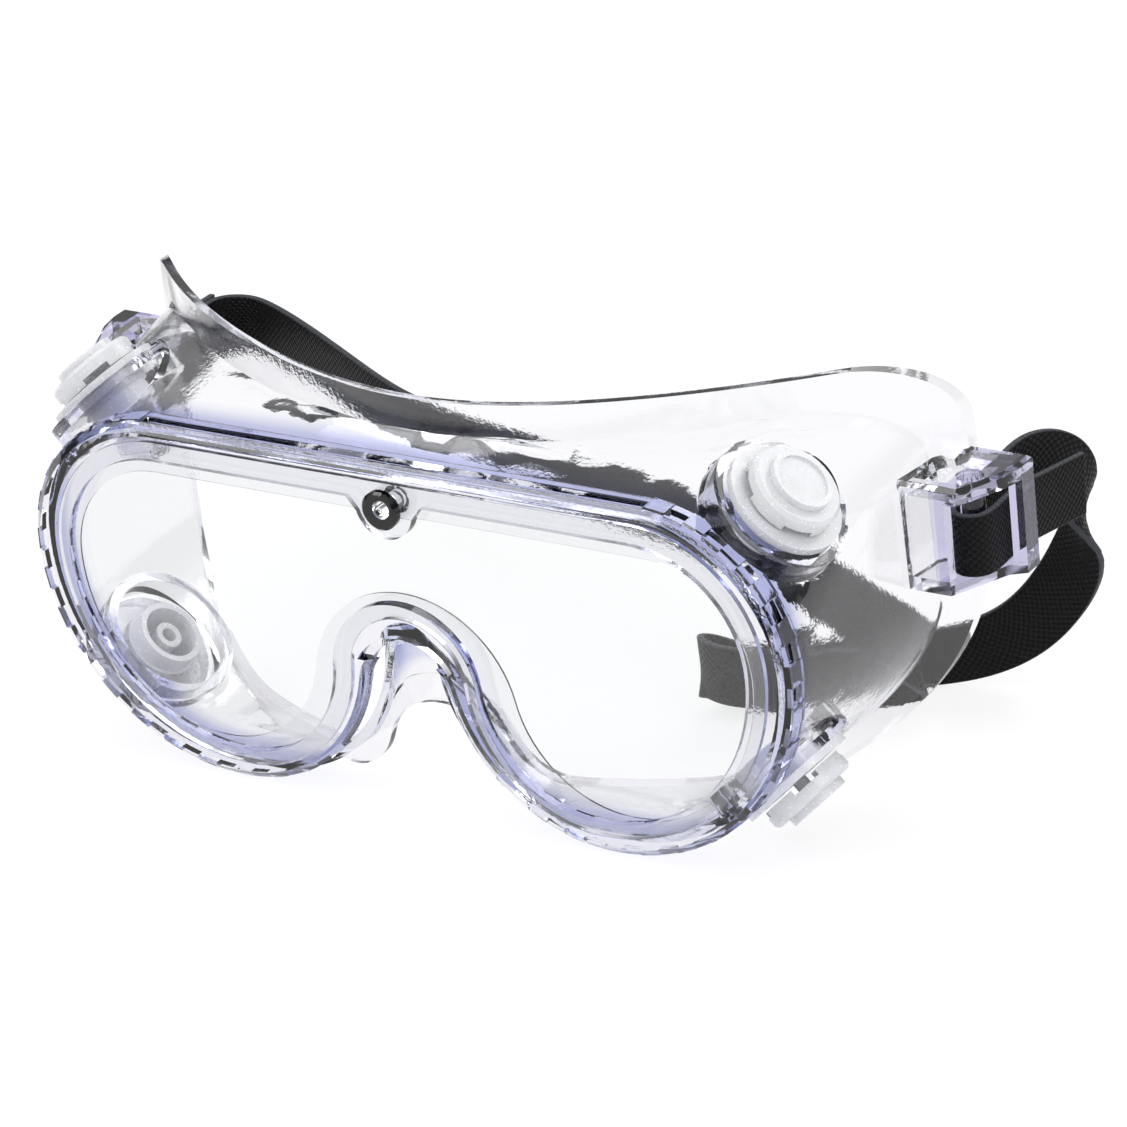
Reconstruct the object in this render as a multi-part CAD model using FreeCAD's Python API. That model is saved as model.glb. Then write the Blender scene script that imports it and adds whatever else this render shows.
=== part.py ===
import FreeCAD, Part
import math
import os

V = FreeCAD.Vector
os.makedirs("parts", exist_ok=True)

# Protective goggles, in millimetres.
# X runs to the wearer's left, Y to the back of the head, Z up along the lens.
# The front of the rim is at Y = 0 and the goggles stand on Z = 0.

# Rim that holds the lens
rim_half_width = 84.0
rim_height = 70.6
rim_bevel = 1.7
rim_corner_radius = 29.0
rim_lobe_radius = 33.0
rim_arch_height = 34.8
rim_front_lip = 2.1
rim_back_lip = 2.4
side_level = 43.3
lower_turn = 50.0

# Groove round the side of the rim, with blocks left standing round the ends and along the foot
groove_front = 2.2
groove_width = 2.6
groove_depth = 1.3
block_pitch = 8.6
block_length = 4.4
block_proud = 0.2
block_clear_top = 50.0
block_clear_nose = 17.0

# Step under the nose arch
hook_widening = 1.4
hook_depth = 2.6
hook_height = 4.6

# Opening for the eyes in the rim
window_side_margin = 7.0
window_top_margin = 5.6
window_bottom_margin = 4.9
window_corner_radius = 23.4
window_lobe_radius = 24.3
window_arch_margin = 8.5
back_lip_drop = 4.0

# Lens sheet and the channel it sits in
lens_thickness = 1.8
lens_hold = 3.4
lens_play = 0.1

# Button through the top of the lens
button_head_radius = 4.0
button_shank_radius = 1.8
button_head_height = 1.6
button_foot_radius = 2.9
button_drop = 1.3
button_tab_radius = 6.4
button_tab_flare = 9.2
button_tab_shoulder = 3.0
button_edge = 0.5
button_play = 0.1

# Walls between the rim and the face
wall_thickness = 2.0
wall_step = 1.5
wall_rise_length = 16.0

# Flange that lies on the face
face_radius = 110.0
face_gap = 13.0
flange_thickness = 1.8
flange_overhang = 8.6
flange_height = 87.0
flange_corner_radius = 16.5
flange_low_radius = 35.0
flange_side_low = 39.0
flange_lip_top = 5.0
flange_lip_side = 3.2
flange_lip_bottom = 4.0
brow_dip = 3.5

# Nose saddle
nose_top = 19.0
nose_edge = 2.0
nose_slope = 1.0
nose_lobe_x = 26.0
nose_lobe_radius = 13.0

# Vents, each a base in the wall with a cap that turns on it
vent_setback = 18.5
vent_upper_turn = 48.0
vent_lower_turn = -45.0
vent_boss_rim = 2.0
vent_seat_play = 0.3
vent_boss_thickness = 7.0
vent_seat_thickness = 2.0
vent_boss_proud = 0.2
vent_flange_radius = 11.8
vent_flange_thickness = 1.6
vent_barrel_radius = 6.8
vent_barrel_wall = 1.2
vent_barrel_reach = 5.0
vent_barrel_play = 0.1
vent_ring_radius = 7.5
vent_ring_thickness = 1.0
vent_spoke_height = 1.4
vent_shoulder = 0.7
vent_socket_radius = 2.8
vent_stem_radius = 1.5
vent_turn_play = 0.05
vent_rib = 1.0
vent_cap_radius = 9.2
vent_cap_thickness = 2.2
vent_skirt = 1.2
vent_skirt_gap = 0.5
vent_air_gap = 2.2
vent_top_radius = 6.3
vent_top_height = 1.6
vent_top_dish = 0.5
vent_top_rim = 1.1

# Strap lugs on both sides
lug_front = 42.5
lug_length = 19.5
lug_reach = 12.6
lug_roof_reach = 5.6
lug_floor = 43.6
lug_height = 22.6
lug_plate = 2.2
lug_leg_inset = 8.9
lug_root = 6.0
lug_edge = 0.8
lug_roof = 3.4
pit_depth = 2.4
pit_margin = 2.6
pit_slope = 2.4
post_inset = 7.7
post_setback = 9.0
post_radius = 2.7
keeper_width = 3.0
keeper_length = 4.6

# Head strap
strap_width = 12.7
strap_thickness = 1.3
strap_play = 0.3
strap_level = 52.4
strap_step = 12.0
strap_turn = 24.0


def arc(p, q, r):
    return Part.Arc(V(*p), V(*q), V(*r)).toShape()


def on_circle(cx, cz, r, deg):
    a = math.radians(deg)
    return cx + r * math.cos(a), cz + r * math.sin(a)


class Outline:
    """Sizes of one closed outline, seen from the front."""

    def __init__(self, half, top, bottom, corner, low, lobe, arch, side_low, lobe_x=0.0, dip=0.0):
        self.half = half
        self.top = top
        self.bottom = bottom
        self.corner = corner
        self.low = low
        self.lobe = lobe
        self.arch = arch
        self.side_low = side_low
        self.lobe_x = lobe_x
        self.dip = dip

    def grown(self, d):
        return Outline(self.half + d, self.top + d, self.bottom - d, self.corner + d, self.low + d,
                       self.lobe + d, self.arch - d, self.side_low, self.lobe_x, self.dip)

    def points(self):
        """Half outline from the top corner to the nose, where it ends, and the arch's radius and height."""
        cx = self.half - self.corner
        cz = self.top - self.corner
        low_z = min(self.side_low, cz - 0.2)
        ax = self.half - self.low
        ex, ez = on_circle(ax, low_z, self.low, -lower_turn)
        sine = math.sin(math.radians(lower_turn))
        wide = (ez - self.bottom) / (1.0 - sine)
        bx, bz = on_circle(ex, ez, wide, 180 - lower_turn)
        lx = self.lobe_x if self.lobe_x else bx - 0.2
        lz = self.bottom + self.lobe
        dz = self.arch - lz
        nose = (dz * dz + lx * lx - self.lobe ** 2) / (2.0 * (self.lobe + dz))
        nz = self.arch - nose
        turn = math.degrees(math.atan2(lz - nz, lx))
        joint = on_circle(0.0, nz, nose, turn)
        rows = [
            ((cx, self.top), on_circle(cx, cz, self.corner, 45), (self.half, cz)),
            ((self.half, cz), None, (self.half, low_z)),
            ((self.half, low_z), on_circle(ax, low_z, self.low, -lower_turn / 2), (ex, ez)),
            ((ex, ez), on_circle(bx, bz, wide, -(lower_turn + 90) / 2), (bx, self.bottom)),
            ((bx, self.bottom), None, (lx, self.bottom)),
            ((lx, self.bottom), on_circle(lx, lz, self.lobe, (450 + turn) / 2), joint),
        ]
        return rows, joint, (nose, nz)

    def half_path(self, y):
        return [arc((a[0], y, a[1]), (m[0], y, m[1]), (b[0], y, b[1])) if m
                else Part.makeLine(V(a[0], y, a[1]), V(b[0], y, b[1])) for a, m, b in self.points()[0]]

    def wire(self, y):
        rows, joint, nose = self.points()
        full = list(rows)
        full.append((joint, (0.0, self.arch), (-joint[0], joint[1])))
        for a, m, b in reversed(rows):
            full.append(((-b[0], b[1]), (-m[0], m[1]) if m else None, (-a[0], a[1])))
        edges = []
        for a, m, b in full:
            if m:
                edges.append(arc((a[0], y, a[1]), (m[0], y, m[1]), (b[0], y, b[1])))
            else:
                edges.append(Part.makeLine(V(a[0], y, a[1]), V(b[0], y, b[1])))
        cx = rows[0][0][0]
        if abs(self.dip) > 0.01:
            brow = Part.BSplineCurve()
            brow.interpolate([V(-cx, y, self.top), V(0, y, self.top - self.dip), V(cx, y, self.top)],
                             InitialTangent=V(1, 0, 0), FinalTangent=V(1, 0, 0))
            edges.append(brow.toShape())
        else:
            edges.append(Part.makeLine(V(-cx, y, self.top), V(cx, y, self.top)))
        return Part.Wire(edges)

    def slab(self, y0, y1):
        return Part.Face(self.wire(y0)).extrude(V(0, y1 - y0, 0))


def mirrored(shape):
    return shape.mirror(V(0, 0, 0), V(1, 0, 0))


def box(x0, x1, y0, y1, z0, z1):
    return Part.makeBox(x1 - x0, y1 - y0, z1 - z0, V(x0, y0, z0))


def rod(radius, start, length, axis):
    return Part.makeCylinder(radius, length, V(*start), V(*axis))


# Rim, lens channel and lens
channel = lens_thickness + 2 * lens_play
rim_depth = rim_front_lip + channel + rim_back_lip
rim_top = rim_bevel + rim_height
front = Outline(rim_half_width, rim_top, rim_bevel, rim_corner_radius, side_level - rim_bevel,
                rim_lobe_radius, rim_arch_height + rim_bevel, side_level)
rim = front.grown(rim_bevel)
window_bottom = rim_bevel + window_bottom_margin
window = Outline(rim_half_width - window_side_margin, rim_top - window_top_margin, window_bottom,
                 window_corner_radius, side_level - window_bottom, window_lobe_radius,
                 front.arch + window_arch_margin, side_level)
back_window = Outline(window.half, window.top - back_lip_drop, window.bottom + 0.6,
                      window.corner - back_lip_drop / 2, window.low - 0.6, window.lobe,
                      window.arch + 1.0, side_level)
bevel = Part.makeLoft([front.wire(0), rim.wire(rim_bevel)], True, True)
ring = bevel.fuse(rim.slab(rim_bevel, rim_depth))

# Groove round the side and the blocks across it
groove_ring = rim.grown(1).slab(groove_front, groove_front + groove_width)
groove_ring = groove_ring.cut(rim.grown(-groove_depth).slab(0, rim_depth))
path = Part.Wire(rim.half_path(0))
blocks = []
spots = path.discretize(Distance=block_pitch / 2)
for k in range(1, len(spots) - 1, 2):
    spot = spots[k]
    along = (spots[k + 1] - spots[k - 1]).normalize()
    if spot.x < (block_clear_top if spot.z > side_level else block_clear_nose):
        continue
    block = Part.makeBox(block_length, rim_depth - rim_bevel, groove_depth + 0.5 + block_proud)
    block.translate(V(-block_length / 2, 0, -groove_depth - 0.5))
    turn = math.degrees(math.atan2(-along.z, along.x))
    block.rotate(V(0, 0, 0), V(0, 1, 0), turn)
    block.translate(V(spot.x, rim_bevel, spot.z))
    if spot.z < side_level / 2:
        block = block.common(rim.grown(block_proud / 2).slab(0, rim_depth)).common(box(0, 200, 0, 20, 0, 200))
    blocks.append(block)
print("blocks", 2 * len(blocks))
ring = ring.cut(groove_ring).fuse(blocks + [mirrored(b) for b in blocks])

# Step in the front face under the nose arch
nose_radius, nose_z = front.points()[2]
hook = rod(nose_radius + hook_widening, (0, -1, nose_z), 1 + hook_depth, (0, 1, 0))
ring = ring.cut(hook.common(box(-30, 30, -2, 20, front.arch - hook_height, front.arch + 20)))

button_z = window.top - button_drop
tab = rod(button_tab_radius, (0, 0, button_z), rim_front_lip, (0, 1, 0))
shoulder = Part.makePolygon([V(-button_tab_flare, 0, window.top + 1), V(button_tab_flare, 0, window.top + 1),
                             V(button_tab_radius * 0.9, 0, button_z - button_tab_shoulder + 1),
                             V(-button_tab_radius * 0.9, 0, button_z - button_tab_shoulder + 1),
                             V(-button_tab_flare, 0, window.top + 1)])
tab = tab.fuse(Part.Face(shoulder).extrude(V(0, rim_front_lip, 0)))
front_hole = window.slab(-1, rim_front_lip).cut(tab)
lens_y = rim_front_lip + lens_play
groove = window.grown(lens_hold + lens_play).slab(rim_front_lip, rim_front_lip + channel)
back_hole = back_window.slab(rim_front_lip + channel, rim_depth + 1)
ring = ring.cut(front_hole).cut(groove).cut(back_hole)

shank_hole = rod(button_shank_radius + button_play, (0, -1, button_z), rim_depth + 2, (0, 1, 0))
ring = ring.cut(shank_hole)
lens = window.grown(lens_hold).slab(lens_y, lens_y + lens_thickness).cut(shank_hole)

button = rod(button_head_radius, (0, -button_head_height, button_z), button_head_height, (0, 1, 0))
button = button.makeChamfer(button_edge, [e for e in button.Edges if e.BoundBox.YMax < 0.01 - button_head_height])
button = button.fuse(rod(button_shank_radius, (0, -0.5, button_z), rim_depth + 0.6, (0, 1, 0)))
foot = Part.makeCone(button_foot_radius, button_shank_radius, 1.4, V(0, rim_depth + 0.05, button_z), V(0, 1, 0))
button = button.fuse(foot)
button = button.cut(rod(0.6, (0, -3, button_z), 2.4, (0, 1, 0)))
button = button.removeSplitter()

# Flange outline and the walls, as outlines at growing depth
flange_half_width = rim_half_width + flange_overhang
flange = Outline(flange_half_width, flange_height, 0.0, flange_corner_radius, flange_low_radius,
                 nose_lobe_radius, nose_top, flange_side_low, nose_lobe_x, brow_dip)
face_axis_y = face_gap + face_radius
flange_back = face_axis_y - math.sqrt(face_radius ** 2 - flange_half_width ** 2)


def blend(a, b, t):
    return a + (b - a) * max(0.0, min(1.0, t))


def wall_outline(y, inset):
    reach = (y - rim_depth) / (flange_back - rim_depth)
    rise = 1.0 - math.exp(-max(0.0, y - rim_depth) / wall_rise_length)
    near = (y - rim_depth) / (face_gap - rim_depth)
    start = rim.grown(-wall_step)
    shape = Outline(blend(start.half, flange.half - flange_lip_side, reach),
                    start.top + (flange.top - flange_lip_top - start.top) * rise,
                    blend(start.bottom, flange.bottom + flange_lip_bottom, near),
                    blend(start.corner, flange.corner - flange_lip_side, reach),
                    blend(start.low, flange.low - flange_lip_side, reach),
                    blend(start.lobe, nose_lobe_radius + 2.0, near),
                    blend(start.arch, nose_top + nose_edge, near),
                    blend(start.side_low, flange_side_low, reach),
                    blend(nose_lobe_x + 12.0, nose_lobe_x + 2.0, near))
    middle = blend(start.top, flange.top - brow_dip - flange_lip_top, near)
    shape.dip = shape.top - middle
    shape = shape.grown(-inset)
    shape.arch += inset * nose_slope
    return shape


wall_stations = [rim_depth - 2.0, 9.5, face_gap, 20.0, 32.0, 68.0]
outer = Part.makeLoft([wall_outline(y, 0.0).wire(y) for y in wall_stations], True, True)
inner = Part.makeLoft([wall_outline(y, wall_thickness).wire(y) for y in wall_stations], True, True)
face = Part.makeCylinder(face_radius, 200, V(0, face_axis_y, -50), V(0, 0, 1))
skin = Part.makeCylinder(face_radius + flange_thickness, 200, V(0, face_axis_y, -50), V(0, 0, 1))
plate = flange.slab(0, flange_back + 2).common(skin)

body = ring.fuse([outer, plate]).cut(inner).cut(face)


# Strap lug: floor, roof with a faceted pit, front leg, a post inside and a keeper leg behind it
lug_outer = flange_half_width + lug_reach
lug_leg_edge = lug_outer - lug_leg_inset
post_x = lug_outer - post_inset
post_y = lug_front + post_setback


def ring_of(points, z):
    return Part.makePolygon([V(x, y, z) for x, y in points + points[:1]])


def lug():
    root = flange_half_width - lug_root
    roof = lug_floor + lug_height
    back = lug_front + lug_length
    keeper = back - keeper_length
    low = [(root, lug_front + 1.0), (lug_leg_edge, lug_front + 1.0), (lug_outer - keeper_width, keeper - 2.0),
           (lug_outer, keeper), (lug_outer, back), (root, back)]
    high = [(root, lug_front), (lug_outer - lug_roof_reach, lug_front), (lug_outer - 1.0, keeper - 5.0),
            (lug_outer, keeper), (lug_outer, back), (root, back)]
    shape = Part.makeLoft([ring_of(low, lug_floor), ring_of(high, roof)], True, True)
    rims = [e for e in shape.Edges if e.BoundBox.ZMin > roof - 0.01 and e.BoundBox.XMax > root + 0.1]
    shape = shape.makeChamfer(lug_edge, rims)
    leg_back = lug_front + 1.0 + lug_plate
    under = roof - lug_roof
    room = box(root - 5, lug_outer - keeper_width, leg_back, back + 5, lug_floor + lug_plate, under)
    gap = box(lug_leg_edge, lug_outer + 5, lug_front - 5, keeper, lug_floor + lug_plate, under)
    x0, x1 = root + pit_margin, lug_outer - keeper_width - pit_margin
    y0, y1 = lug_front + pit_margin, back - pit_margin
    wide = [(x0, y0), (x1, y0), (x1, y1), (x0, y1)]
    small = [(x0 + pit_slope, y0 + pit_slope), (x1 - pit_slope, y0 + pit_slope),
             (x1 - pit_slope, y1 - pit_slope), (x0 + pit_slope, y1 - pit_slope)]
    pit = Part.makeLoft([ring_of(small, roof - pit_depth), ring_of(wide, roof + 0.01)], True, True)
    shape = shape.cut([room, gap, pit])
    return shape.fuse(rod(post_radius, (post_x, post_y, lug_floor + 0.5), lug_height - 1.5, (0, 0, 1)))


lugs = lug().cut(inner).cut(face)
body = body.fuse([lugs, mirrored(lugs)])


# Vents: a boss with a hole in the wall, the base in it and the cap over the base
def vent_frame(turn):
    outline = wall_outline(vent_setback, 0.0)
    a = math.radians(turn)
    if turn > 0:
        cx = outline.half - outline.corner
        cz = outline.top - outline.corner
        r = outline.corner
    else:
        cx = outline.half - outline.low
        cz = outline.side_low
        r = outline.low
    axis = V(math.cos(a), 0, math.sin(a))
    seat = V(cx, vent_setback, cz) + axis * (r + vent_boss_proud)
    return seat, axis


def disc(seat, axis, radius, z0, z1, bore=0.0):
    shape = Part.makeCylinder(radius, z1 - z0, seat + axis * z0, axis)
    shape.rotate(seat, axis, 100)
    if bore:
        shape = shape.cut(Part.makeCylinder(bore, z1 - z0 + 2, seat + axis * (z0 - 1), axis))
    return shape


def spun(seat, axis, profile):
    outline = Part.makePolygon([V(r, 0, z) for r, z in profile + profile[:1]])
    shape = Part.Face(outline).revolve(V(0, 0, 0), V(0, 0, 1), 360)
    shape.Placement = FreeCAD.Placement(seat, FreeCAD.Rotation(V(0, 0, 1), axis))
    return shape


def vent_base(seat, axis):
    bore = vent_barrel_radius - vent_barrel_wall
    bead = -vent_seat_thickness - vent_ring_thickness
    end = -vent_seat_thickness - vent_barrel_reach
    shape = spun(seat, axis, [(bore, end), (vent_barrel_radius, end), (vent_barrel_radius, bead),
                              (vent_ring_radius, bead), (vent_barrel_radius, -vent_seat_thickness),
                              (vent_barrel_radius, 0), (vent_flange_radius, 0),
                              (vent_flange_radius, vent_flange_thickness), (bore, vent_flange_thickness)])
    low = vent_flange_thickness - vent_spoke_height
    way = V(0, 1, 0)
    for k in range(3):
        out = FreeCAD.Rotation(axis, 120.0 * k).multVec(way)
        side = axis.cross(out) * vent_rib
        corner = seat + axis * low - side * 0.5
        spoke = Part.makePolygon([corner, corner + out * (bore + 0.5), corner + out * (bore + 0.5) + side,
                                  corner + side, corner])
        shape = shape.fuse(Part.Face(spoke).extrude(axis * vent_spoke_height))
    hub = disc(seat, axis, vent_socket_radius, end + 1.0, vent_flange_thickness)
    return shape.fuse(hub).cut(disc(seat, axis, vent_stem_radius + vent_turn_play, end - 1, vent_flange_thickness + 1))


def vent_cap(seat, axis):
    foot = vent_flange_thickness + vent_skirt_gap
    under = vent_flange_thickness + vent_air_gap
    top = under + vent_cap_thickness
    crown = top + vent_top_height
    well = vent_top_radius - vent_top_rim
    shape = spun(seat, axis, [(0, -vent_seat_thickness), (vent_stem_radius, -vent_seat_thickness),
                              (vent_stem_radius, under), (vent_cap_radius - vent_skirt, under),
                              (vent_cap_radius - vent_skirt, foot), (vent_cap_radius, foot),
                              (vent_cap_radius, top - vent_shoulder), (vent_cap_radius - vent_shoulder, top),
                              (vent_top_radius, top), (vent_top_radius, crown), (well, crown),
                              (well, crown - vent_top_dish), (0, crown - vent_top_dish)])
    way = V(0, 1, 0)
    for k in range(4):
        out = FreeCAD.Rotation(axis, 45.0 + 90.0 * k).multVec(way)
        side = axis.cross(out) * 3.0
        corner = seat + axis * (foot - 0.5) + out * (vent_stem_radius + 2.0) - side
        slot = Part.makePolygon([corner, corner + out * 9, corner + out * 9 + side * 2, corner + side * 2, corner])
        shape = shape.cut(Part.Face(slot).extrude(axis * (under - foot)))
    return shape


vents = {}
for level, turn in (("upper", vent_upper_turn), ("lower", vent_lower_turn)):
    seat, axis = vent_frame(turn)
    spot = vent_flange_radius + vent_seat_play
    boss = disc(seat, axis, spot + vent_boss_rim, -vent_boss_thickness, 0)
    hole = disc(seat, axis, vent_barrel_radius + vent_barrel_play, -vent_boss_thickness - 4, 4)
    hollow = disc(seat, axis, spot, -vent_boss_thickness - 6, -vent_seat_thickness)
    boss = boss.cut(rim.slab(-5, rim_depth - 0.1))
    room = [disc(seat, axis, spot, 0, 14).cut(ring), hole, hollow.cut(ring)]
    body = body.fuse([boss, mirrored(boss)]).cut(room).cut([mirrored(r) for r in room])
    base = vent_base(seat, axis)
    cap = vent_cap(seat, axis)
    for side, name in ((1, "left"), (-1, "right")):
        vents["vent_base_%s_%s" % (level, name)] = base if side == 1 else mirrored(base)
        vents["vent_cap_%s_%s" % (level, name)] = cap if side == 1 else mirrored(cap)
    print("vent", level, "seat", seat, "axis", axis)


# Head strap: one flat strap whose ends go round the posts, width upright along its whole path
def strap_points():
    wrap = post_radius + strap_play + strap_thickness / 2
    out_x = post_x + wrap
    in_x = post_x - wrap
    points = [(post_x + 7.0, 82.0, 51.4), (post_x + 4.6, 70.0, 52.0),
              (out_x, post_y + 11.5, strap_level), (out_x - 0.1, post_y + 6.5, strap_level)]
    for k in range(9):
        a = math.radians(-22.5 * k)
        points.append((post_x + wrap * math.cos(a), post_y + wrap * math.sin(a), strap_level))
    points += [(in_x + 0.2, post_y + 6.5, 52.6), (post_x - 3.1, 68.0, 54.5), (post_x - 1.7, 77.0, 56.0),
               (post_x + 1.0, 85.0, 52.5), (99.5, 89.5, 43.0), (97.5, 91.5, 32.0), (91.5, 92.0, 21.0),
               (83.5, 90.5, 12.5), (74.5, 87.5, 8.0), (65.0, 83.0, 6.6), (54.0, 75.5, 6.5), (43.0, 69.0, 6.5),
               (35.0, 65.5, 6.6), (31.0, 62.0, 8.5), (31.0, 57.5, 11.0), (35.0, 55.0, 11.5), (43.0, 57.0, 10.5),
               (52.0, 62.0, 9.0), (61.0, 68.0, 8.5), (68.5, 71.0, 10.0), (72.5, 68.0, 15.0), (70.0, 62.0, 23.0),
               (62.0, 57.0, 31.5), (51.0, 53.5, 39.5), (38.0, 51.5, 45.5), (24.0, 51.5, 48.5), (9.0, 53.0, 49.8),
               (-7.0, 55.6, 50.2), (-23.0, 58.6, 50.4), (-38.0, 63.0, 50.8), (-52.0, 69.5, 51.6),
               (-66.0, 77.0, 52.3), (-77.0, 82.5, 52.9), (-87.0, 87.0, 53.2), (-95.0, 88.5, 53.2),
               (-post_x - 2.2, 86.0, 53.0), (-post_x - 2.6, 80.0, 52.7), (-post_x + 0.6, 69.0, 52.5),
               (-in_x - 0.2, post_y + 6.5, strap_level)]
    for k in range(9):
        a = math.radians(22.5 * k)
        points.append((-post_x + wrap * math.cos(a), post_y - wrap * math.sin(a), strap_level))
    points += [(-out_x + 0.1, post_y + 6.5, strap_level), (-out_x, post_y + 11.5, strap_level),
               (-post_x - 4.6, 70.0, 52.0), (-post_x - 6.6, 81.0, 51.6),
               (-post_x - 7.4, 91.0, 51.0)]
    return [V(*p) for p in points]


def strap():
    points = strap_points()
    curve = Part.BSplineCurve()
    curve.interpolate(points)
    marks = [curve.parameter(p) for p in points]
    sections = []
    for i in range(len(points) - 1):
        turn = math.degrees(curve.tangent(marks[i])[0].getAngle(curve.tangent(marks[i + 1])[0]))
        run = points[i].distanceToPoint(points[i + 1])
        steps = max(1, round(run / strap_step), math.ceil(turn / strap_turn))
        last = steps + 1 if i == len(points) - 2 else steps
        for k in range(last):
            u = marks[i] + (marks[i + 1] - marks[i]) * k / steps
            p = curve.value(u)
            t = curve.tangent(u)[0]
            across = V(t.y, -t.x, 0).normalize()
            up = across.cross(t).normalize()
            a = across * (strap_thickness / 2)
            w = up * (strap_width / 2)
            sections.append([p - a - w, p + a - w, p + a + w, p - a + w])
    print("strap length", round(curve.length()), "sections", len(sections))
    edges = [Part.makePolygon([corners[k] for corners in sections]) for k in range(4)]
    faces = []
    for k in range(4):
        faces += Part.makeRuledSurface(edges[k], edges[(k + 1) % 4]).Faces
    for corners in (sections[0], sections[-1]):
        faces.append(Part.Face(Part.makePolygon(corners + corners[:1])))
    skin = Part.makeShell(faces)
    skin.sewShape()
    solid = Part.makeSolid(skin)
    if solid.Volume < 0:
        solid.reverse()
    return solid


nodes = {"goggle_body": body.removeSplitter(), "lens": lens, "lens_button": button}
nodes.update(vents)
nodes["head_strap"] = strap()
for name, shape in nodes.items():
    print(name, shape.isValid(), len(shape.Solids), round(shape.Volume, 1))
    shape.exportStep("parts/%s.step" % name)
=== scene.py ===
import bpy
import bmesh
import math
from mathutils import Matrix, Vector
from mathutils.geometry import interpolate_bezier


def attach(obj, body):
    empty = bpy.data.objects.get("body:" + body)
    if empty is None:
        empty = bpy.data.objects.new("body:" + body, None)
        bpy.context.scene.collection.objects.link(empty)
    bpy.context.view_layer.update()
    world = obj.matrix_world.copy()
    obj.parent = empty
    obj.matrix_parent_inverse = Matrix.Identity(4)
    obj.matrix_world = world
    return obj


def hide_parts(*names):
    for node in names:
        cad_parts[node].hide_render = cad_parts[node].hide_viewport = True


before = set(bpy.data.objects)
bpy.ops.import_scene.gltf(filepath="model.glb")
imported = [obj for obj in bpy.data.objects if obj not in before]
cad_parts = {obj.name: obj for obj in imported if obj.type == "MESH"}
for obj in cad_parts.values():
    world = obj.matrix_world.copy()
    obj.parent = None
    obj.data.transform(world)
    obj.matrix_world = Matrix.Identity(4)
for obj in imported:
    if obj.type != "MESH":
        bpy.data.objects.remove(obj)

scene = bpy.context.scene
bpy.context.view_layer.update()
print("frame loaded:", len(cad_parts), "nodes")

# a shader effect that several materials share is one node group with its own sockets
def newEffect(name, inputs, outputs):
    group = bpy.data.node_groups.new(name, "ShaderNodeTree")
    for label, kind, value in inputs:
        socket = group.interface.new_socket(label, in_out="INPUT", socket_type=kind)
        if value is not None:
            socket.default_value = value
    for label, kind in outputs:
        group.interface.new_socket(label, in_out="OUTPUT", socket_type=kind)
    return group, group.nodes.new("NodeGroupInput"), group.nodes.new("NodeGroupOutput")

def join(tree, source, target):
    tree.links.new(source, target)

def addNode(tree, kind, **settings):
    node = tree.nodes.new(kind)
    for key, value in settings.items():
        setattr(node, key, value)
    return node

def mixColors(tree, share, first, second):
    node = addNode(tree, "ShaderNodeMix", data_type="RGBA")
    join(tree, share, node.inputs["Factor"])
    for socket, value in ((node.inputs[6], first), (node.inputs[7], second)):
        if isinstance(value, tuple):
            socket.default_value = value
        else:
            join(tree, value, socket)
    return node.outputs[2]

def spreadNode(tree, value, low, high, bottom=0.0, top=1.0):
    node = addNode(tree, "ShaderNodeMapRange")
    for label, amount in (("From Min", low), ("From Max", high), ("To Min", bottom), ("To Max", top)):
        node.inputs[label].default_value = amount
    join(tree, value, node.inputs["Value"])
    return node.outputs["Result"]

# slow waves and fine flow marks of moulded soft plastic, as a height and a roughness
def buildMouldSkin():
    group, inside, outside = newEffect(
        "mouldSkin",
        [("Vector", "NodeSocketVector", None), ("Wave Size", "NodeSocketFloat", 40.0),
         ("Fine Size", "NodeSocketFloat", 900.0), ("Fine Share", "NodeSocketFloat", 0.15),
         ("Smooth", "NodeSocketFloat", 0.03), ("Rough", "NodeSocketFloat", 0.12)],
        [("Height", "NodeSocketFloat"), ("Roughness", "NodeSocketFloat")])
    waves = addNode(group, "ShaderNodeTexNoise")
    waves.inputs["Detail"].default_value = 1.5
    fine = addNode(group, "ShaderNodeTexNoise")
    fine.inputs["Detail"].default_value = 3.0
    mixing = addNode(group, "ShaderNodeMix", data_type="FLOAT")
    spread = addNode(group, "ShaderNodeMapRange")
    join(group, inside.outputs["Vector"], waves.inputs["Vector"])
    join(group, inside.outputs["Vector"], fine.inputs["Vector"])
    join(group, inside.outputs["Wave Size"], waves.inputs["Scale"])
    join(group, inside.outputs["Fine Size"], fine.inputs["Scale"])
    join(group, inside.outputs["Fine Share"], mixing.inputs["Factor"])
    join(group, waves.outputs["Fac"], mixing.inputs["A"])
    join(group, fine.outputs["Fac"], mixing.inputs["B"])
    join(group, fine.outputs["Fac"], spread.inputs["Value"])
    spread.inputs["From Min"].default_value = 0.35
    spread.inputs["From Max"].default_value = 0.75
    join(group, inside.outputs["Smooth"], spread.inputs["To Min"])
    join(group, inside.outputs["Rough"], spread.inputs["To Max"])
    join(group, mixing.outputs["Result"], outside.inputs["Height"])
    join(group, spread.outputs["Result"], outside.inputs["Roughness"])
    return group

mouldSkin = buildMouldSkin()

def newMaterial(name):
    material = bpy.data.materials.new(name)
    material.use_nodes = True
    tree = material.node_tree
    return material, tree, tree.nodes["Principled BSDF"], tree.nodes["Material Output"]

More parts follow.
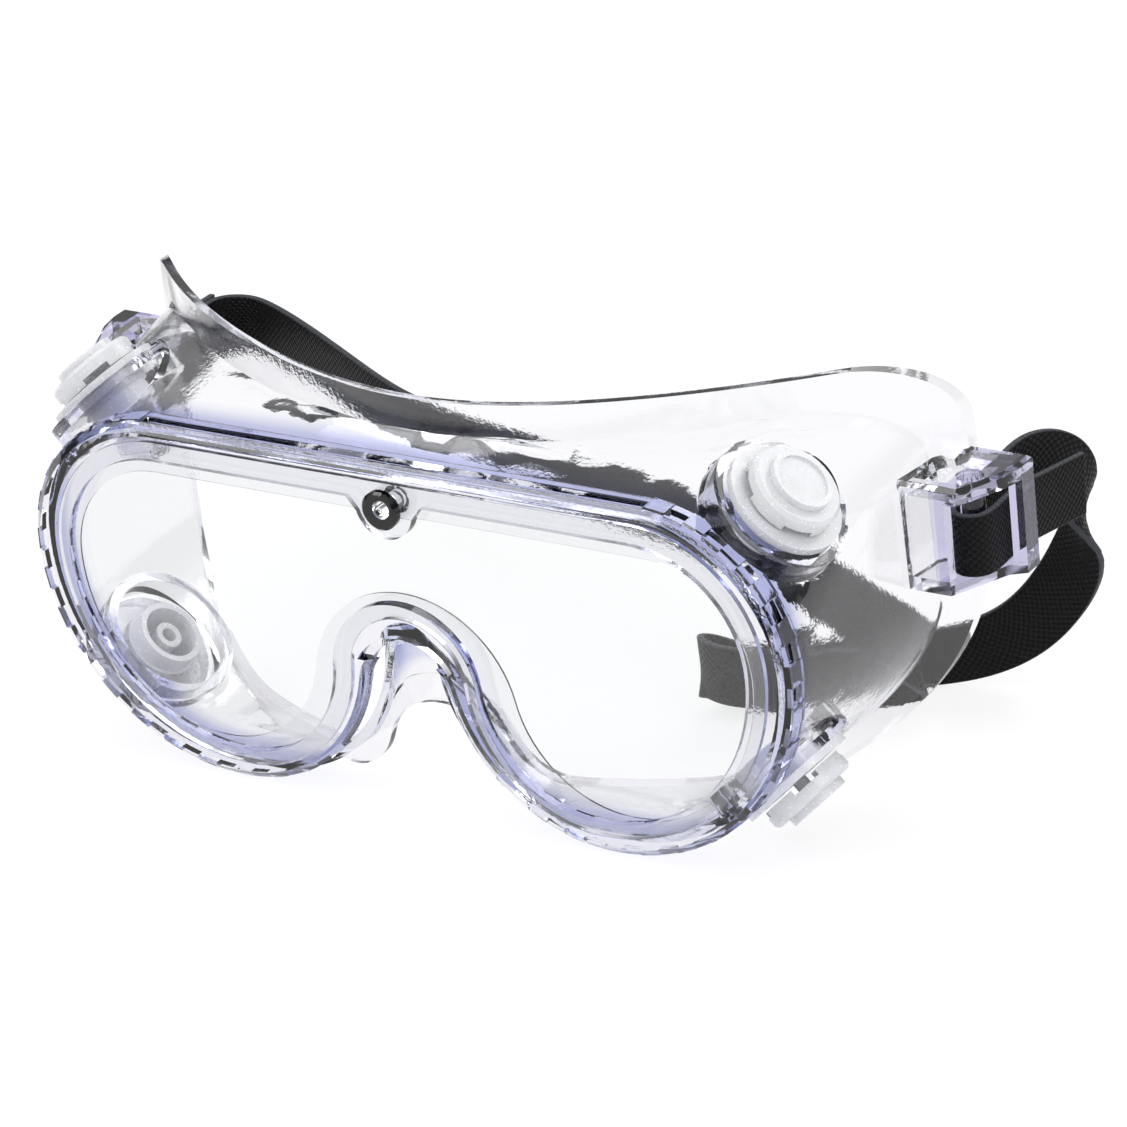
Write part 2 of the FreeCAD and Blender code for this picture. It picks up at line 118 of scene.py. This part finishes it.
def placeMouldSkin(tree, shader, settings, relief, strength):
    coords = addNode(tree, "ShaderNodeTexCoord")
    skin = addNode(tree, "ShaderNodeGroup", node_tree=mouldSkin)
    for label, value in settings.items():
        skin.inputs[label].default_value = value
    bump = addNode(tree, "ShaderNodeBump")
    bump.inputs["Distance"].default_value = relief
    bump.inputs["Strength"].default_value = strength
    join(tree, coords.outputs["Object"], skin.inputs["Vector"])
    join(tree, skin.outputs["Height"], bump.inputs["Height"])
    join(tree, skin.outputs["Roughness"], shader.inputs["Roughness"])
    join(tree, bump.outputs["Normal"], shader.inputs["Normal"])
    return coords

# violet where the vinyl is thick: paler on the rim's face, deeper in the strap lugs; the rim's sides get the
# vinyl's violet plus painted shade, and its downward-facing foot is painted darker still as shade
def buildThickTintAndShade():
    colors = (("Thin Color", (1.0, 1.0, 1.0, 1.0)), ("Face Color", (0.9, 0.9, 0.95, 1.0)),
              ("Side Tint And Shade Color", (0.6, 0.6, 0.8, 1.0)), ("Shaded Foot Color", (0.4, 0.4, 0.7, 1.0)),
              ("Lug Color", (0.7, 0.7, 0.85, 1.0)))
    group, inside, outside = newEffect(
        "thickTintAndShade",
        [("Vector", "NodeSocketVector", None), ("Normal", "NodeSocketVector", None)]
        + [(label, "NodeSocketColor", value) for label, value in colors]
        + [("Rim Back", "NodeSocketFloat", 0.01), ("Rim Fade", "NodeSocketFloat", 0.004),
           ("Lug Side", "NodeSocketFloat", 0.09)],
        [("Color", "NodeSocketColor")])
    place = addNode(group, "ShaderNodeSeparateXYZ")
    facing = addNode(group, "ShaderNodeSeparateXYZ")
    join(group, inside.outputs["Vector"], place.inputs["Vector"])
    join(group, inside.outputs["Normal"], facing.inputs["Vector"])
    front = addNode(group, "ShaderNodeMath", operation="ABSOLUTE")
    join(group, facing.outputs["Y"], front.inputs[0])
    # faces turned sideways get the deeper violet together with painted shade
    sideTintAndShadeMask = spreadNode(group, front.outputs["Value"], 0.95, 0.6)
    # downward-facing faces are painted darker, as shade
    downFacingShadeMask = spreadNode(group, facing.outputs["Z"], -0.15, -0.7)
    depth = addNode(group, "ShaderNodeMath", operation="SUBTRACT")
    rim = addNode(group, "ShaderNodeMath", operation="DIVIDE", use_clamp=True)
    join(group, inside.outputs["Rim Back"], depth.inputs[0])
    join(group, place.outputs["Y"], depth.inputs[1])
    join(group, depth.outputs["Value"], rim.inputs[0])
    join(group, inside.outputs["Rim Fade"], rim.inputs[1])
    across = addNode(group, "ShaderNodeMath", operation="ABSOLUTE")
    lug = addNode(group, "ShaderNodeMath", operation="GREATER_THAN")
    join(group, place.outputs["X"], across.inputs[0])
    join(group, across.outputs["Value"], lug.inputs[0])
    join(group, inside.outputs["Lug Side"], lug.inputs[1])
    sidesTintAndShade = mixColors(group, sideTintAndShadeMask, inside.outputs["Face Color"], inside.outputs["Side Tint And Shade Color"])
    footShade = mixColors(group, downFacingShadeMask, inside.outputs["Side Tint And Shade Color"], inside.outputs["Shaded Foot Color"])
    deepTintAndShade = mixColors(group, sideTintAndShadeMask, sidesTintAndShade, footShade)
    rims = mixColors(group, rim.outputs["Value"], inside.outputs["Thin Color"], deepTintAndShade)
    whole = mixColors(group, lug.outputs["Value"], rims, inside.outputs["Lug Color"])
    join(group, whole, outside.inputs["Color"])
    return group

thickTintAndShade = buildThickTintAndShade()

# the side and foot colours are the vinyl's violet plus painted shade, darkest on downward-facing faces
vinylLook = {"Thin Color": (0.94, 0.94, 0.945, 1.0), "Face Color": (0.91, 0.91, 0.93, 1.0),
             "Side Tint And Shade Color": (0.44, 0.46, 0.70, 1.0), "Shaded Foot Color": (0.22, 0.25, 0.52, 1.0),
             "Lug Color": (0.62, 0.60, 0.78, 1.0), "Rim Back": 0.012, "Rim Fade": 0.004, "Lug Side": 0.0935}
vinylDepth = {"ior": 1.52, "color": (0.30, 0.31, 0.66, 1.0), "density": 14.0, "shadow": (0.93, 0.93, 0.95, 1.0)}
vinylSkin = {"Wave Size": 55.0, "Fine Size": 1100.0, "Fine Share": 0.08, "Smooth": 0.0, "Rough": 0.04}

# lamps shine through clear pieces as if they were air, so what is inside is not left dark
def letLightThrough(tree, shader, output, tint):
    rays = addNode(tree, "ShaderNodeLightPath")
    clear = addNode(tree, "ShaderNodeBsdfTransparent")
    clear.inputs["Color"].default_value = tint
    mixing = addNode(tree, "ShaderNodeMixShader")
    join(tree, rays.outputs["Is Shadow Ray"], mixing.inputs["Fac"])
    join(tree, shader.outputs["BSDF"], mixing.inputs[1])
    join(tree, clear.outputs["BSDF"], mixing.inputs[2])
    join(tree, mixing.outputs["Shader"], output.inputs["Surface"])

def makeVinyl():
    material, tree, shader, output = newMaterial("clearVinyl")
    shader.inputs["Transmission Weight"].default_value = 1.0
    shader.inputs["IOR"].default_value = vinylDepth["ior"]
    coords = placeMouldSkin(tree, shader, vinylSkin, relief=0.0006, strength=0.35)
    tint = addNode(tree, "ShaderNodeGroup", node_tree=thickTintAndShade)
    for label, value in vinylLook.items():
        tint.inputs[label].default_value = value
    join(tree, coords.outputs["Object"], tint.inputs["Vector"])
    join(tree, coords.outputs["Normal"], tint.inputs["Normal"])
    join(tree, tint.outputs["Color"], shader.inputs["Base Color"])
    depth = addNode(tree, "ShaderNodeVolumeAbsorption")
    depth.inputs["Color"].default_value = vinylDepth["color"]
    depth.inputs["Density"].default_value = vinylDepth["density"]
    join(tree, depth.outputs["Volume"], output.inputs["Volume"])
    letLightThrough(tree, shader, output, vinylDepth["shadow"])
    return material

lensLook = {"tint": (0.945, 0.95, 0.95, 1.0), "ior": 1.49, "shadow": (0.96, 0.96, 0.965, 1.0)}
lensSkin = {"Wave Size": 14.0, "Fine Size": 700.0, "Fine Share": 0.03, "Smooth": 0.0, "Rough": 0.03}

def makeLens():
    material, tree, shader, output = newMaterial("clearLens")
    shader.inputs["Base Color"].default_value = lensLook["tint"]
    shader.inputs["Transmission Weight"].default_value = 1.0
    shader.inputs["IOR"].default_value = lensLook["ior"]
    placeMouldSkin(tree, shader, lensSkin, relief=0.0002, strength=0.1)
    letLightThrough(tree, shader, output, lensLook["shadow"])
    return material

ventLook = {"color": (0.82, 0.825, 0.84, 1.0), "ior": 1.5, "transmission": 0.3, "scatter": 0.5,
            "scatterReach": (0.002, 0.002, 0.0022)}
ventSkin = {"Wave Size": 160.0, "Fine Size": 1500.0, "Fine Share": 0.02, "Smooth": 0.2, "Rough": 0.3}

def makeVentPlastic():
    material, tree, shader, output = newMaterial("milkyPlastic")
    shader.inputs["Base Color"].default_value = ventLook["color"]
    shader.inputs["Transmission Weight"].default_value = ventLook["transmission"]
    shader.inputs["IOR"].default_value = ventLook["ior"]
    shader.inputs["Subsurface Weight"].default_value = ventLook["scatter"]
    shader.inputs["Subsurface Radius"].default_value = ventLook["scatterReach"]
    shader.inputs["Subsurface Scale"].default_value = 1.0
    placeMouldSkin(tree, shader, ventSkin, relief=0.0001, strength=0.08)
    return material

# the strap's sizes, then its finish
strapMake = {"width": 0.0127, "thickness": 0.0013, "edgeRound": 0.00028, "step": 0.0008, "rowsAcross": 4,
             "postX": 0.0975, "postY": 0.0515, "wrap": 0.00365, "level": 0.0524, "wrapSteps": 9}
# the pit colour is painted shade in the weave's hollows; the lighter crest colour is a painted glint on the
# raised cells
strapLook = {"pit": (0.0015, 0.0015, 0.0018, 1.0), "crest": (0.0055, 0.0057, 0.0065, 1.0),
             "edge": (0.045, 0.047, 0.052, 1.0), "cell": 0.00072, "edgeWidth": 0.00035, "smooth": 0.36,
             "rough": 0.6, "specular": 0.14, "relief": 0.00025}

# over and under cells of the woven strap, laid out by its own length and width
def makeStrapWeave():
    material, tree, shader, output = newMaterial("wovenElastic")
    shader.inputs["Specular IOR Level"].default_value = strapLook["specular"]
    coords = addNode(tree, "ShaderNodeTexCoord")
    split = addNode(tree, "ShaderNodeSeparateXYZ")
    join(tree, coords.outputs["UV"], split.inputs["Vector"])
    waves = []
    for axis in ("X", "Y"):
        turns = addNode(tree, "ShaderNodeMath", operation="MULTIPLY")
        turns.inputs[1].default_value = math.pi / strapLook["cell"]
        wave = addNode(tree, "ShaderNodeMath", operation="SINE")
        join(tree, split.outputs[axis], turns.inputs[0])
        join(tree, turns.outputs["Value"], wave.inputs[0])
        waves.append(wave)
    cells = addNode(tree, "ShaderNodeMath", operation="MULTIPLY")
    join(tree, waves[0].outputs["Value"], cells.inputs[0])
    join(tree, waves[1].outputs["Value"], cells.inputs[1])
    crest = addNode(tree, "ShaderNodeMapRange")
    crest.inputs["From Min"].default_value = -0.4
    crest.inputs["From Max"].default_value = 0.7
    join(tree, cells.outputs["Value"], crest.inputs["Value"])
    centred = addNode(tree, "ShaderNodeMath", operation="SUBTRACT")
    centred.inputs[1].default_value = strapMake["width"] / 2
    offset = addNode(tree, "ShaderNodeMath", operation="ABSOLUTE")
    border = addNode(tree, "ShaderNodeMapRange")
    border.inputs["From Min"].default_value = strapMake["width"] / 2 - strapLook["edgeWidth"]
    border.inputs["From Max"].default_value = strapMake["width"] / 2 - strapLook["edgeWidth"] / 3
    join(tree, split.outputs["Y"], centred.inputs[0])
    join(tree, centred.outputs["Value"], offset.inputs[0])
    join(tree, offset.outputs["Value"], border.inputs["Value"])
    # painted shade in the hollows and a painted glint on the crests, mixed by the crest mask
    colors = addNode(tree, "ShaderNodeMix", data_type="RGBA")
    colors.inputs[6].default_value = strapLook["pit"]
    colors.inputs[7].default_value = strapLook["crest"]
    join(tree, crest.outputs["Result"], colors.inputs["Factor"])
    edged = addNode(tree, "ShaderNodeMix", data_type="RGBA")
    edged.inputs[7].default_value = strapLook["edge"]
    join(tree, border.outputs["Result"], edged.inputs["Factor"])
    join(tree, colors.outputs[2], edged.inputs[6])
    join(tree, edged.outputs[2], shader.inputs["Base Color"])
    sheen = addNode(tree, "ShaderNodeMapRange")
    sheen.inputs["To Min"].default_value = strapLook["rough"]
    sheen.inputs["To Max"].default_value = strapLook["smooth"]
    join(tree, crest.outputs["Result"], sheen.inputs["Value"])
    join(tree, sheen.outputs["Result"], shader.inputs["Roughness"])
    bump = addNode(tree, "ShaderNodeBump")
    bump.inputs["Distance"].default_value = strapLook["relief"]
    bump.inputs["Strength"].default_value = 0.9
    join(tree, crest.outputs["Result"], bump.inputs["Height"])
    join(tree, bump.outputs["Normal"], shader.inputs["Normal"])
    return material

clearVinyl = makeVinyl()
clearLens = makeLens()
milkyPlastic = makeVentPlastic()
wovenElastic = makeStrapWeave()
print("materials made")

# a merged copy of a moulded node, with soft shading and crisp edges
def smoothCopy(nodeName, pieceName, crease):
    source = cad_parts[nodeName]
    mesh = source.data.copy()
    mesh.name = pieceName
    shape = bmesh.new()
    shape.from_mesh(mesh)
    bmesh.ops.remove_doubles(shape, verts=shape.verts, dist=1e-6)
    for face in shape.faces:
        face.smooth = True
    for edge in shape.edges:
        edge.smooth = len(edge.link_faces) == 2 and edge.calc_face_angle(0.0) < math.radians(crease)
    shape.to_mesh(mesh)
    shape.free()
    piece = bpy.data.objects.new(pieceName, mesh)
    scene.collection.objects.link(piece)
    return piece

def dress(nodeName, pieceName, body, material, crease=32.0):
    piece = smoothCopy(nodeName, pieceName, crease)
    piece.data.materials.clear()
    piece.data.materials.append(material)
    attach(piece, body)
    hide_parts(nodeName)
    return piece

dress("goggle_body", "mouldedBody", "goggles", clearVinyl)
dress("lens", "lensSheet", "goggles", clearLens)
dress("lens_button", "topButton", "goggles", clearLens)
for level in ("upper", "lower"):
    for side in ("left", "right"):
        tag = level.capitalize() + side.capitalize()
        dress("vent_base_%s_%s" % (level, side), "ventBase" + tag, "goggles", milkyPlastic)
        dress("vent_cap_%s_%s" % (level, side), "ventCap" + tag, "cap_%s_%s" % (level, side), milkyPlastic)
print("moulded pieces dressed")

# points that the head strap runs through, from its left tail round both posts to its right tail
def strapRoute():
    postX, postY, wrap, level = (strapMake[key] for key in ("postX", "postY", "wrap", "level"))
    outX, inX = postX + wrap, postX - wrap
    route = [(postX + 0.007, 0.082, 0.0514), (postX + 0.0046, 0.070, 0.052),
             (outX, postY + 0.0115, level), (outX - 0.0001, postY + 0.0065, level)]
    for k in range(strapMake["wrapSteps"]):
        turn = math.radians(-180.0 * k / (strapMake["wrapSteps"] - 1))
        route.append((postX + wrap * math.cos(turn), postY + wrap * math.sin(turn), level))
    route += [(inX + 0.0002, postY + 0.0065, 0.0526), (postX - 0.0031, 0.068, 0.0545),
              (postX - 0.0017, 0.077, 0.056), (postX + 0.001, 0.085, 0.0525), (0.0995, 0.0895, 0.043),
              (0.0975, 0.0915, 0.032), (0.0915, 0.092, 0.021), (0.0835, 0.0905, 0.0125), (0.0745, 0.0875, 0.008),
              (0.065, 0.083, 0.0066), (0.054, 0.0755, 0.0065), (0.043, 0.069, 0.0065), (0.035, 0.0655, 0.0066),
              (0.031, 0.062, 0.0085), (0.031, 0.0575, 0.011), (0.035, 0.055, 0.0115), (0.043, 0.057, 0.0105),
              (0.052, 0.062, 0.009), (0.061, 0.068, 0.0085), (0.0685, 0.071, 0.010), (0.0725, 0.068, 0.015),
              (0.070, 0.062, 0.023), (0.062, 0.057, 0.0315), (0.051, 0.0535, 0.0395), (0.038, 0.0515, 0.0455),
              (0.024, 0.0515, 0.0485), (0.009, 0.053, 0.0498), (-0.007, 0.0556, 0.0502),
              (-0.023, 0.0586, 0.0504), (-0.038, 0.063, 0.0508), (-0.052, 0.0695, 0.0516),
              (-0.066, 0.077, 0.0523), (-0.077, 0.0825, 0.0529), (-0.087, 0.087, 0.0532),
              (-0.095, 0.0885, 0.0532), (-postX - 0.0022, 0.086, 0.053), (-postX - 0.0026, 0.080, 0.0527),
              (-postX + 0.0006, 0.069, 0.0525), (-inX - 0.0002, postY + 0.0065, level)]
    for k in range(strapMake["wrapSteps"]):
        turn = math.radians(180.0 * k / (strapMake["wrapSteps"] - 1))
        route.append((-postX + wrap * math.cos(turn), postY - wrap * math.sin(turn), level))
    route += [(-outX + 0.0001, postY + 0.0065, level), (-outX, postY + 0.0115, level),
              (-postX - 0.0046, 0.070, 0.052), (-postX - 0.0066, 0.081, 0.0516), (-postX - 0.0074, 0.091, 0.051)]
    return [Vector(point) for point in route]

# smooth curve through the points, as close points with the distance run at each
def smoothRun(route, divisions=24, easing=40):
    gaps = [(b - a).length for a, b in zip(route, route[1:])]
    last = len(route) - 1
    slopes = []
    for i in range(last + 1):
        first, following = max(i - 1, 0), min(i + 1, last)
        slopes.append((route[following] - route[first]) / sum(gaps[first:i + 1]))
    for _ in range(easing):
        for i in range(1, last):
            before, after = gaps[i - 1], gaps[i]
            pull = 3.0 * (after * (route[i] - route[i - 1]) / before + before * (route[i + 1] - route[i]) / after)
            slopes[i] = (pull - after * slopes[i - 1] - before * slopes[i + 1]) / (2.0 * (before + after))
    points = []
    for i in range(last):
        third = gaps[i] / 3.0
        piece = interpolate_bezier(route[i], route[i] + slopes[i] * third, route[i + 1] - slopes[i + 1] * third,
                                   route[i + 1], divisions + 1)
        points += piece if i == last - 1 else piece[:-1]
    runs = [0.0]
    for a, b in zip(points, points[1:]):
        runs.append(runs[-1] + (b - a).length)
    return points, runs

def makeStrap():
    points, runs = smoothRun(strapRoute())
    total = runs[-1]
    steps = round(total / strapMake["step"])
    stations = []
    at = 0
    for k in range(steps + 1):
        run = total * k / steps
        while at < len(runs) - 2 and runs[at + 1] < run:
            at += 1
        share = (run - runs[at]) / (runs[at + 1] - runs[at])
        along = (points[at + 1] - points[at]).normalized()
        across = Vector((along.y, -along.x, 0.0)).normalized()
        stations.append((points[at].lerp(points[at + 1], share), across.cross(along).normalized()))
    shape = bmesh.new()
    bmesh.ops.create_grid(shape, x_segments=steps, y_segments=strapMake["rowsAcross"], size=0.5, calc_uvs=True)
    layer = shape.loops.layers.uv.verify()
    for face in shape.faces:
        face.smooth = True
        for loop in face.loops:
            loop[layer].uv = ((loop.vert.co.x + 0.5) * total, (loop.vert.co.y + 0.5) * strapMake["width"])
    for vert in shape.verts:
        place, up = stations[round((vert.co.x + 0.5) * steps)]
        vert.co = place + up * vert.co.y * strapMake["width"]
    bmesh.ops.recalc_face_normals(shape, faces=shape.faces)
    mesh = bpy.data.meshes.new("wovenStrap")
    shape.to_mesh(mesh)
    shape.free()
    strap = bpy.data.objects.new("wovenStrap", mesh)
    scene.collection.objects.link(strap)
    mesh.materials.append(wovenElastic)
    wall = strap.modifiers.new("thickness", "SOLIDIFY")
    wall.thickness = strapMake["thickness"]
    wall.offset = 0.0
    soft = strap.modifiers.new("softEdges", "BEVEL")
    soft.width = strapMake["edgeRound"]
    soft.segments = 2
    soft.limit_method = "ANGLE"
    soft.angle_limit = math.radians(50.0)
    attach(strap, "goggles")
    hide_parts("head_strap")
    print("strap laid, length", round(total, 3))

makeStrap()

# pale floor and soft studio light
studio = {"floorSize": 6.0, "floorColor": (0.92, 0.92, 0.93, 1.0), "cleanShare": 0.8,
          "horizonColor": (0.16, 0.165, 0.18, 1.0), "zenithColor": (0.95, 0.955, 0.97, 1.0), "dimTo": 0.15,
          "brightFrom": 0.55, "worldStrength": 1.0, "lightAim": (0.0, 0.03, 0.04)}

def makeFloor():
    shape = bmesh.new()
    bmesh.ops.create_grid(shape, x_segments=1, y_segments=1, size=studio["floorSize"] / 2)
    mesh = bpy.data.meshes.new("paleFloor")
    shape.to_mesh(mesh)
    shape.free()
    floor = bpy.data.objects.new("paleFloor", mesh)
    scene.collection.objects.link(floor)
    material, tree, shader, output = newMaterial("whiteSweep")
    shader.inputs["Base Color"].default_value = studio["floorColor"]
    shader.inputs["Roughness"].default_value = 0.9
    shader.inputs["Specular IOR Level"].default_value = 0.1
    glow = addNode(tree, "ShaderNodeEmission")
    glow.inputs["Color"].default_value = (1.0, 1.0, 1.0, 1.0)
    rays = addNode(tree, "ShaderNodeLightPath")
    direct = addNode(tree, "ShaderNodeMath", operation="MAXIMUM")
    seen = addNode(tree, "ShaderNodeMath", operation="MAXIMUM")
    share = addNode(tree, "ShaderNodeMath", operation="MULTIPLY")
    share.inputs[1].default_value = studio["cleanShare"]
    floorMix = addNode(tree, "ShaderNodeMixShader")
    join(tree, rays.outputs["Is Camera Ray"], direct.inputs[0])
    join(tree, rays.outputs["Is Glossy Ray"], direct.inputs[1])
    join(tree, direct.outputs["Value"], seen.inputs[0])
    join(tree, rays.outputs["Is Transmission Ray"], seen.inputs[1])
    join(tree, seen.outputs["Value"], share.inputs[0])
    join(tree, share.outputs["Value"], floorMix.inputs["Fac"])
    join(tree, shader.outputs["BSDF"], floorMix.inputs[1])
    join(tree, glow.outputs["Emission"], floorMix.inputs[2])
    join(tree, floorMix.outputs["Shader"], output.inputs["Surface"])
    mesh.materials.append(material)

# bright overhead, dimmer towards the horizon, so that clear edges read against the white floor
def makeWorld():
    world = bpy.data.worlds.new("softStudio")
    world.use_nodes = True
    scene.world = world
    tree = world.node_tree
    coords = addNode(tree, "ShaderNodeTexCoord")
    split = addNode(tree, "ShaderNodeSeparateXYZ")
    height = addNode(tree, "ShaderNodeMapRange", interpolation_type="SMOOTHSTEP")
    height.inputs["From Min"].default_value = studio["dimTo"]
    height.inputs["From Max"].default_value = studio["brightFrom"]
    tones = addNode(tree, "ShaderNodeMix", data_type="RGBA")
    tones.inputs[6].default_value = studio["horizonColor"]
    tones.inputs[7].default_value = studio["zenithColor"]
    shade = tree.nodes["Background"]
    shade.inputs["Strength"].default_value = studio["worldStrength"]
    join(tree, coords.outputs["Generated"], split.inputs["Vector"])
    join(tree, split.outputs["Z"], height.inputs["Value"])
    join(tree, height.outputs["Result"], tones.inputs["Factor"])
    join(tree, tones.outputs[2], shade.inputs["Color"])

def addSoftbox(name, place, size, power):
    lamp = bpy.data.lights.new(name, "AREA")
    lamp.shape = "RECTANGLE"
    lamp.size, lamp.size_y = size
    lamp.energy = power
    box = bpy.data.objects.new(name, lamp)
    box.location = place
    aim = Vector(studio["lightAim"]) - Vector(place)
    box.rotation_euler = aim.to_track_quat("-Z", "Y").to_euler()
    scene.collection.objects.link(box)

makeFloor()
makeWorld()
softboxes = {"keyBox": ((-0.7, -0.6, 1.1), (0.8, 0.8), 9.0), "fillBox": ((1.1, -0.2, 0.7), (0.6, 0.9), 5.0),
             "backBox": ((0.1, 1.2, 0.9), (1.2, 0.5), 6.0)}  # place, size and power of each
for name, (place, size, power) in softboxes.items():
    addSoftbox(name, place, size, power)
print("studio lit")

view = {"aim": (0.0277, 0.01735, 0.05075), "distance": 1.12, "azimuth": 34.75, "elevation": 25.23, "roll": -6.26,
        "focal": 189.6, "sensor": 36.0, "nearest": 0.05}

def makeCamera():
    data = bpy.data.cameras.new("photoView")
    data.lens = view["focal"]
    data.sensor_width = view["sensor"]
    data.clip_start = view["nearest"]
    camera = bpy.data.objects.new("photoView", data)
    az = math.radians(view["azimuth"])
    el = math.radians(view["elevation"])
    back = Vector((math.sin(az) * math.cos(el), -math.cos(az) * math.cos(el), math.sin(el)))
    right = Vector((math.cos(az), math.sin(az), 0.0))
    up = back.cross(right)
    turn = math.radians(view["roll"])
    across = right * math.cos(turn) + up * math.sin(turn)
    upward = up * math.cos(turn) - right * math.sin(turn)
    place = Vector(view["aim"]) + back * view["distance"]
    rows = [[across[i], upward[i], back[i], place[i]] for i in range(3)] + [[0, 0, 0, 1]]
    camera.matrix_world = Matrix(rows)
    scene.collection.objects.link(camera)
    scene.camera = camera

makeCamera()
scene.view_settings.view_transform = "Standard"
